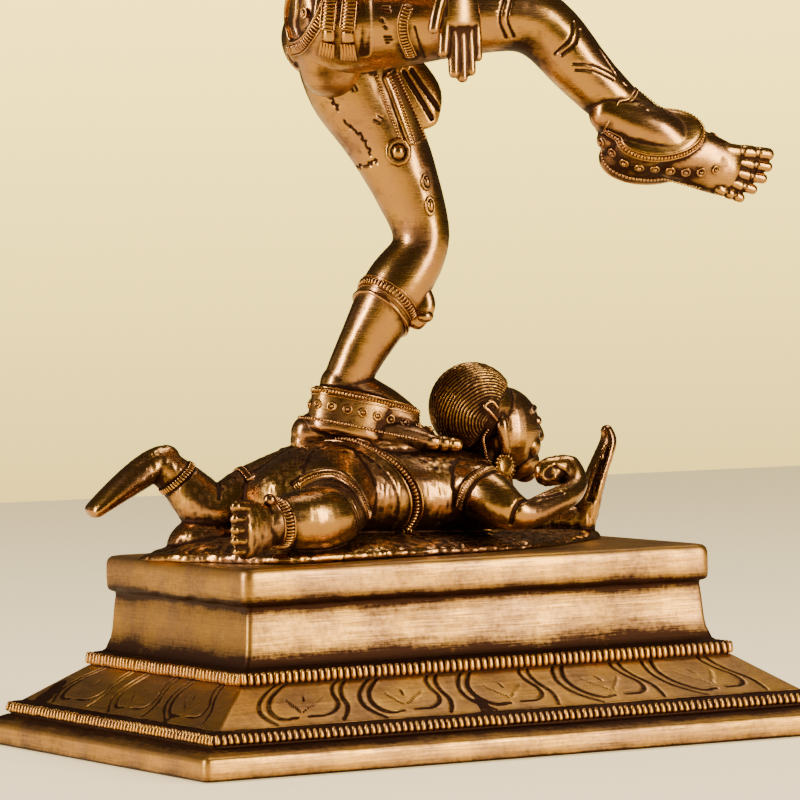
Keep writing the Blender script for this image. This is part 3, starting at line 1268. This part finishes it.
def medal(trees, pixel, long, wide, up=(0, 0, 1)):
    """A raised oval ring with a boss, seen at a pixel, upright on the skin."""
    hit = first_hit(trees, *photo_ray(*pixel))
    if hit is None:
        return []
    out = unit(hit[3:])
    stop = {"at": [hit[:3]], "out": [out], "along": [unit(np.array(up) - out * (out @ up))], "closed": False}
    ring = row_of(RING, stop, (long, wide, 0.45 * wide), 0.4)
    return [ring, row_of(BEAD, stop, (long * 0.55, wide * 0.5, wide * 0.45), 0.5)]


# %% Hip and thigh cloth
ROUNDEL_BORDER = [(334, -6), (327, 9), (318, 23), (308, 38), (300, 47), (290, 50)]
ROUNDEL_RIM = [(326, -6), (320, 9), (311, 26), (302, 38), (292, 41), (288, 30), (287, 12), (289, -4)]
ROUNDEL_HOLLOW = [(305, -4), (303, 12), (300, 26)]
STRAPS = [[(332, -8), (330, 12), (328, 29)], [(352, -8), (350, 12), (348, 29)]]
BLOCKS = [[(329, 31), (329, 39)], [(347.5, 32), (348, 40)]]
TUFTS = [[(328.5, 42), (327, 54)], [(348, 43), (349, 57)]]
DARK_FOLD = [(365, -6), (366, 25), (365, 52)]
THIGH_BEADS = [(408, 6), (403, 22), (404, 38), (411, 56)]
THIGH_LINE = [(415, 27), (419, 42), (424, 57)]
BEAD_STRINGS = [
    [(376, 76), (383, 96), (392, 118), (402, 142)], [(388, 74), (397, 94), (405, 116), (414, 143)],
    [(396, 74), (405, 94), (414, 114), (424, 138)],
]
SASH_END = [(-2, 2, 332, 6, 4), (4, 0, 318, 11, 4.5), (10, -2, 304, 15, 4.5), (13, -3, 293, 7, 3)]
SASH_FOLDS = [[(404, 72), (418, 95), (432, 118)], [(412, 70), (427, 92), (439, 108)]]
ROSETTE_AT = (398, 152)
PENDANTS = [((432, 143), 4.8, 3.2), ((426, 182), 4.6, 3.2), ((430, 206), 5.2, 3.0)]

body_tree = [tree_of(legs), tree_of(upper)]


def tuft(line, half):
    """A tassel's cut fringe: a few strands side by side."""
    strands = []
    for k in range(5):
        shift = (k - 2) / 2 * (half - 0.8)
        strands.append(strap(beside(body_tree, line, shift), (0.8, 1.15, 1.2), 1.5, 1.2))
    return strands


def waist_cloth():
    parts = []
    for height, reach in ((352, 1.6), (359, 1.2), (366, 1.0)):
        line = around(body_tree, (-39, -6, height), (0, 0, 1))
        parts += [beads(line, 2.6, reach, 0.6), rail(beside(body_tree, line, 2.4), 0.7, 0.4)]
    border, rim = seen(body_tree, ROUNDEL_BORDER), seen(body_tree, ROUNDEL_RIM)
    parts += [ribs(border, 1.55, 2.2, 1.2, 0.4), rail(rim, 1.1, 0.5), rail(beside(body_tree, border, 2.8), 0.5, 0.4)]
    parts += medal(body_tree, (304, 13), 3.0, 2.2)
    for strip, block, end in zip(STRAPS, BLOCKS, TUFTS):
        line = seen(body_tree, strip)
        parts += [strap(line, (3.6, 3.4), 1.7), ribs(line, 1.5, 2.9, 1.0, 2.0)]
        parts += [rail(beside(body_tree, line, s), 0.5, 1.8) for s in (-3.4, 3.4)]
        parts += [strap(seen(body_tree, block), (3.4, 3.6), 2.6), *tuft(seen(body_tree, end), 3.6)]
    thigh = seen(body_tree, THIGH_BEADS)
    parts += [ribs(thigh, 1.6, 1.7, 0.8, 0.2), rail(beside(body_tree, thigh, 2.3), 0.5), rail(beside(body_tree, thigh, -2.3), 0.5)]
    return gather("waist_cloth", parts)


def thigh_cloth():
    under = [limb(SASH_END, (0.9, -0.2, 0.35)), strap(seen(body_tree, BEAD_STRINGS[1]), (5.5, 6, 5), 2.0)]
    cloth = fuse("thigh_cloth", under, 0.5)
    trees = [*body_tree, tree_of(cloth)]
    emboss(cloth, [seen(trees, fold) for fold in SASH_FOLDS], 0.8, -0.9)
    thin(cloth, 20000)
    parts = [cloth]
    for string in BEAD_STRINGS:
        line = seen(trees, string)
        parts += [beads(line, 1.5, 1.2, 0.5)]
    parts += medal(trees, ROSETTE_AT, 7.2, 6.8)
    for pixel, long, wide in PENDANTS:
        parts += medal(trees, pixel, long, wide)
    return gather("thigh_cloth", parts)


waist = waist_cloth()
thigh_sash = thigh_cloth()
for skin in (legs, upper):
    emboss(skin, [seen(body_tree, DARK_FOLD)], 1.4, -0.5, 2.2)
    emboss(skin, [seen(body_tree, ROUNDEL_HOLLOW)], 4.2, -1.4, 2.0)
emboss(legs, [seen(body_tree, THIGH_LINE)], 0.3, -0.5, 0.4)
print("waist cloth", triangles(waist), "triangles, thigh cloth", triangles(thigh_sash))

# %% [markdown]
# ## Old brass
# The recesses of old brass are nearly black, the rubbed crests bare and golden, with a pink cast where
# copper shows. Where dirt gathers is computed from the shape: a point lower than its neighbourhood is
# in a recess. The material mixes three metals by that value and breaks it up with brush streaks.

# %% Patina from the shape
# Rounds of smoothing, the hollow in mm that counts as full, and its weight
HOLLOWS = [(2, 0.10, 1.0), (8, 0.35, 0.8), (30, 1.1, 0.45)]
DARK_UNDERSIDE = 0.75


def neighbour_mean(piece):
    """A function that averages values over each point's neighbours."""
    edges = np.empty(len(piece.data.edges) * 2, np.int32)
    piece.data.edges.foreach_get("vertices", edges)
    a, b = edges.reshape(-1, 2).T
    count = len(piece.data.vertices)
    degree = np.maximum(np.bincount(a, minlength=count) + np.bincount(b, minlength=count), 1)
    return lambda values: (np.bincount(a, values[b], count) + np.bincount(b, values[a], count)) / degree


def patina(piece, hollows=1.0, extra=None):
    """Stores how dirty each point is, from 0 for a rubbed crest to 1 for a filled recess."""
    places, out = read(piece), read(piece, "normal")
    mean = neighbour_mean(piece)
    dirt = np.zeros(len(places))
    soft = places.copy()
    done = 0
    for rounds, full, weight in HOLLOWS:
        for _ in range(rounds - done):
            soft = np.stack([mean(soft[:, c]) for c in range(3)], axis=1)
        done = rounds
        hollow = np.einsum("ij,ij->i", soft - places, out)
        dirt += hollows * weight * np.clip(hollow / full, -0.35, 1)
    dirt += DARK_UNDERSIDE * np.clip((0.05 - out[:, 2]) / 0.75, 0, 1)
    if extra is not None:
        dirt += extra(places, out)
    if "groove" in piece.data.attributes:
        groove = np.empty(len(places), np.float32)
        piece.data.attributes["groove"].data.foreach_get("value", groove)
        dirt = np.maximum(dirt, groove)
    for _ in range(2):
        dirt = 0.5 * dirt + 0.5 * mean(dirt)
    layer = piece.data.attributes.new("patina", "FLOAT", "POINT")
    layer.data.foreach_set("value", np.clip(dirt, -0.3, 1).astype(np.float32))
    print(piece.name, "patina", round(float(np.clip(dirt, 0, 1).mean()), 2))


# %% Where dirt gathers on the pedestal
BLOCK_DIRT = [
    (0, 0.6), (1.5, 0.2), (4, 0.1), (9, 0.12), (10.6, 0.3), (12, 0.75), (14, 1), (19.5, 1), (21, 0.7),
    (44, 0.8), (46.5, 0.95), (49, 0.75), (53, 0.28), (57, 0.1), (64, 0.12), (69, 0.35), (73.2, 0.75),
    (74.6, 0.35), (77, 0.12), (87, 0.1), (89.6, -0.1), (90.31, 0.25),
]


def block_dirt(places, out):
    heights, dirt = zip(*BLOCK_DIRT)
    base = np.interp(places[:, 2], heights, dirt)
    run = places[:, 0] + 1.7 * places[:, 1]
    return base + 0.12 * wave(run, 24, 21) * (places[:, 2] > 46) + 0.1 * wave(run + 9 * places[:, 2], 60, 22)


def slope_dirt(places, out):
    share = (places[:, 2] - SLOPE_LOW[1]) / (SLOPE_HIGH[1] - SLOPE_LOW[1])
    return 0.2 + 0.5 * np.clip(1 - share / 0.12, 0, 1) + 0.4 * np.clip((share - 0.9) / 0.1, 0, 1)


# %% Small shader steps
def link_or_set(links, socket, value):
    if isinstance(value, bpy.types.NodeSocket):
        links.new(value, socket)
    else:
        socket.default_value = value


def mix_colours(nodes, links, first, second, amount):
    node = nodes.new("ShaderNodeMix")
    node.data_type = "RGBA"
    for socket, value in zip((node.inputs[6], node.inputs[7], node.inputs[0]), (first, second, amount)):
        link_or_set(links, socket, value)
    return node.outputs[2]


def maths(nodes, links, kind, first, second):
    node = nodes.new("ShaderNodeMath")
    node.operation = kind
    for socket, value in zip(node.inputs, (first, second)):
        link_or_set(links, socket, value)
    return node.outputs[0]


def ramp(nodes, links, value, low, high, to_low=0.0, to_high=1.0):
    node = nodes.new("ShaderNodeMapRange")
    for name, number in zip(("From Min", "From Max", "To Min", "To Max"), (low, high, to_low, to_high)):
        node.inputs[name].default_value = number
    links.new(value, node.inputs["Value"])
    return node.outputs["Result"]


def noise(nodes, links, scale, detail=3.0, stretch=(1, 1, 1), rough=0.55):
    place = nodes.new("ShaderNodeTexCoord")
    mapping = nodes.new("ShaderNodeMapping")
    mapping.inputs["Scale"].default_value = stretch
    texture = nodes.new("ShaderNodeTexNoise")
    texture.inputs["Scale"].default_value = scale
    texture.inputs["Detail"].default_value = detail
    texture.inputs["Roughness"].default_value = rough
    links.new(place.outputs["Object"], mapping.inputs["Vector"])
    links.new(mapping.outputs["Vector"], texture.inputs["Vector"])
    return texture.outputs["Fac"]


# %% Material
def brass(name, gold, rosy, dark, gloss, grime=0.0, streaks=(1, 1, 14)):
    """Old brass: two metal colours by slow noise, dark patina by attribute, streaks and small pits."""
    made = bpy.data.materials.new(name)
    made.use_nodes = True
    nodes, links = made.node_tree.nodes, made.node_tree.links
    shader = nodes["Principled BSDF"]
    shader.inputs["Metallic"].default_value = 1
    layer = nodes.new("ShaderNodeAttribute")
    layer.attribute_name = "patina"
    patches = noise(nodes, links, 45, 4)
    fine = noise(nodes, links, 420, 3, rough=0.7)
    brushed = noise(nodes, links, 160, 4, streaks, 0.7)
    tone = mix_colours(nodes, links, gold, rosy, ramp(nodes, links, patches, 0.4, 0.6))
    worn = maths(nodes, links, "ADD", layer.outputs["Fac"], ramp(nodes, links, brushed, 0.3, 0.75, -0.12, 0.2))
    worn = maths(nodes, links, "ADD", worn, ramp(nodes, links, patches, 0.35, 0.7, -0.08, 0.14 + grime))
    worn = maths(nodes, links, "ADD", worn, ramp(nodes, links, fine, 0.4, 0.75, -0.04, 0.16))
    amount = ramp(nodes, links, worn, 0.04, 0.8)
    links.new(mix_colours(nodes, links, tone, dark, amount), shader.inputs["Base Color"])
    rough = ramp(nodes, links, amount, 0, 1, gloss, 0.58)
    rough = maths(nodes, links, "ADD", rough, ramp(nodes, links, brushed, 0.3, 0.7, -0.05, 0.07))
    links.new(rough, shader.inputs["Roughness"])
    relief = maths(nodes, links, "ADD", brushed, maths(nodes, links, "MULTIPLY", fine, 0.8))
    bump = nodes.new("ShaderNodeBump")
    bump.inputs["Strength"].default_value = 0.15
    bump.inputs["Distance"].default_value = 0.3 * MM
    links.new(relief, bump.inputs["Height"])
    links.new(bump.outputs["Normal"], shader.inputs["Normal"])
    return made


GOLD = (0.42, 0.21, 0.045, 1)
ROSY = (0.36, 0.17, 0.065, 1)
DARK = (0.035, 0.014, 0.007, 1)
figure_brass = brass("figure_brass", GOLD, ROSY, DARK, 0.23)
base_brass = brass("base_brass", (0.58, 0.29, 0.055, 1), (0.49, 0.25, 0.08, 1), DARK, 0.34, 0.0, (0.25, 0.25, 9))

# %% Finished pieces
def dress(piece, node, material, hollows=1.0, extra=None):
    """Gives a finished piece its metal and says what it stands for."""
    patina(piece, hollows, extra)
    piece.data.materials.clear()
    piece.data.materials.append(material)
    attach(piece, "root")
    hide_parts(node)


FIGURE_PIECES = [
    (dwarf, 150000), (dwarf_face, 75000), (legs, 150000), (upper, 100000), (dancer_face, 40000),
    (crown_piece, 20000), (dwarf_gold, 60000), (head_gold, 30000), (leg_gold, 60000),
    (waist, 60000), (thigh_sash, 45000),
]
dress(block, "pedestal", base_brass, 0, block_dirt)
dress(slope, "pedestal", base_brass, 0.3, slope_dirt)
dress(upper_teeth, "pedestal", base_brass)
dress(lower_teeth, "pedestal", base_brass)
ORNAMENTS = [dwarf_gold, head_gold, leg_gold, waist, thigh_sash]
FACE_RUBBED = [(62, 0, 148, 14), (60, -14, 142, 12), (60, 14, 142, 12)]
# How dark a whole piece is, and the places that hands keep bright
GRIME = {
    "dwarf_body": (0.5, POLISHED), "dwarf_head": (0.4, FACE_RUBBED), "thigh_cloth": (0.3, FACE_RUBBED),
    "waist_cloth": (0.1, FACE_RUBBED),
}
# Places where the patina was left on: x, y, z and reach in mm
LEFT_DARK = [
    (-14, -84, 324, 17), (2, -22, 296, 15), (8, -18, 268, 12), (12, -14, 246, 11), (-8, -40, 322, 15),
    (-34, -6, 312, 17), (6, -8, 206, 10), (70, -72, 296, 12), (-8, -14, 148, 13),
]


def ornament_points():
    """All points of the beads and bands, to find how near they are."""
    places = np.vstack([read(piece) for piece in ORNAMENTS])[::3]
    tree = KDTree(len(places))
    for k, place in enumerate(places):
        tree.insert(place, k)
    tree.balance()
    return tree


def gathered_dirt(piece, tree):
    """Patina that stays beside ornaments, in dark places and where hands don't reach."""
    grime, spots = GRIME.get(piece.name, (0.0, FACE_RUBBED))

    def dirt(places, out):
        total = grime * (1 - rubbed(places, spots)) + 0.5 * rubbed(places, LEFT_DARK)
        if piece not in ORNAMENTS:
            near = np.array([tree.find(place)[2] for place in places])
            total += 0.75 * np.clip(1.3 - near / 2.6, 0, 1)
        return total

    return dirt


near_ornaments = ornament_points()
for piece, limit in FIGURE_PIECES:
    thin(piece, limit)
    dress(piece, "dancer_on_dwarf", figure_brass, 1.0, gathered_dirt(piece, near_ornaments))

# %% [markdown]
# ## Floor and light
# The statue stands on a plain pale floor. Metal shows what it reflects, so the light is soft panels
# with dark between them: a warm one to the front right, a cool one on the left, whose stripe runs down
# each shin, and a weak one overhead. The wall is pale to the camera but dim to the metal.

# %% Floor
FLOOR_HALF = 2.2


def floor():
    bpy.ops.object.select_all(action="DESELECT")
    bpy.ops.mesh.primitive_plane_add(size=2 * FLOOR_HALF, location=(0, 0, -0.0005))
    piece = bpy.context.active_object
    piece.name = "floor"
    paint = bpy.data.materials.new("floor")
    paint.use_nodes = True
    shader = paint.node_tree.nodes["Principled BSDF"]
    shader.inputs["Base Color"].default_value = (0.92, 0.80, 0.56, 1)
    shader.inputs["Roughness"].default_value = 0.85
    shader.inputs["Specular IOR Level"].default_value = 0.1
    shader.inputs["Emission Color"].default_value = (1.0, 0.76, 0.34, 1)
    shader.inputs["Emission Strength"].default_value = 0.9
    piece.data.materials.append(paint)
    piece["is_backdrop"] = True


floor()

# %% Lights
def panel(name, place, target, width, height, radiance, colour):
    """A soft light panel in metres that faces its target, as bright as `radiance` all over."""
    light = bpy.data.lights.new(name, "AREA")
    light.shape = "RECTANGLE"
    light.size, light.size_y = width, height
    light.energy = radiance * math.pi * width * height
    light.color = colour
    lamp = bpy.data.objects.new(name, light)
    sight = Vector(target) - Vector(place)
    lamp.matrix_world = Matrix.LocRotScale(Vector(place), sight.to_track_quat("-Z", "Y"), None)
    bpy.context.scene.collection.objects.link(lamp)


def world(low_colour, high_colour, light_colour, strength):
    """Pale to the camera and a little darker lower down, dimmer to everything else."""
    made = bpy.data.worlds.new("studio")
    bpy.context.scene.world = made
    made.use_nodes = True
    nodes, links = made.node_tree.nodes, made.node_tree.links
    nodes.clear()
    place, split = nodes.new("ShaderNodeTexCoord"), nodes.new("ShaderNodeSeparateXYZ")
    links.new(place.outputs["Generated"], split.inputs[0])
    share = ramp(nodes, links, split.outputs["Z"], -0.05, 0.05)
    path = nodes.new("ShaderNodeLightPath")
    shown, lit = nodes.new("ShaderNodeBackground"), nodes.new("ShaderNodeBackground")
    links.new(mix_colours(nodes, links, low_colour, high_colour, share), shown.inputs["Color"])
    lit.inputs["Color"].default_value = light_colour
    lit.inputs["Strength"].default_value = strength
    both, out = nodes.new("ShaderNodeMixShader"), nodes.new("ShaderNodeOutputWorld")
    links.new(path.outputs["Is Camera Ray"], both.inputs["Fac"])
    links.new(lit.outputs[0], both.inputs[1])
    links.new(shown.outputs[0], both.inputs[2])
    links.new(both.outputs[0], out.inputs["Surface"])


TARGET = (0, 0, 0.2)
panel("front_right", (0.95, -1.8, 0.65), TARGET, 0.42, 1.4, 31, (1, 0.92, 0.78))
panel("left", (-1.9, 0.1, 0.8), TARGET, 0.3, 1.5, 46, (1, 0.93, 0.92))
panel("back_left", (-1.2, 1.7, 0.5), TARGET, 0.7, 0.7, 0.5, (1, 0.85, 0.65))
panel("overhead", (0.5, 0.2, 2.0), TARGET, 0.8, 0.8, 9.5, (1, 0.94, 0.86))
world((2.0, 1.45, 0.40, 1), (4.1, 3.0, 0.66, 1), (1, 0.85, 0.62, 1), 0.07)

# %% Sizes and finish
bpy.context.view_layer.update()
print("triangles", sum(triangles(piece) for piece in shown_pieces() if piece.type == "MESH"))
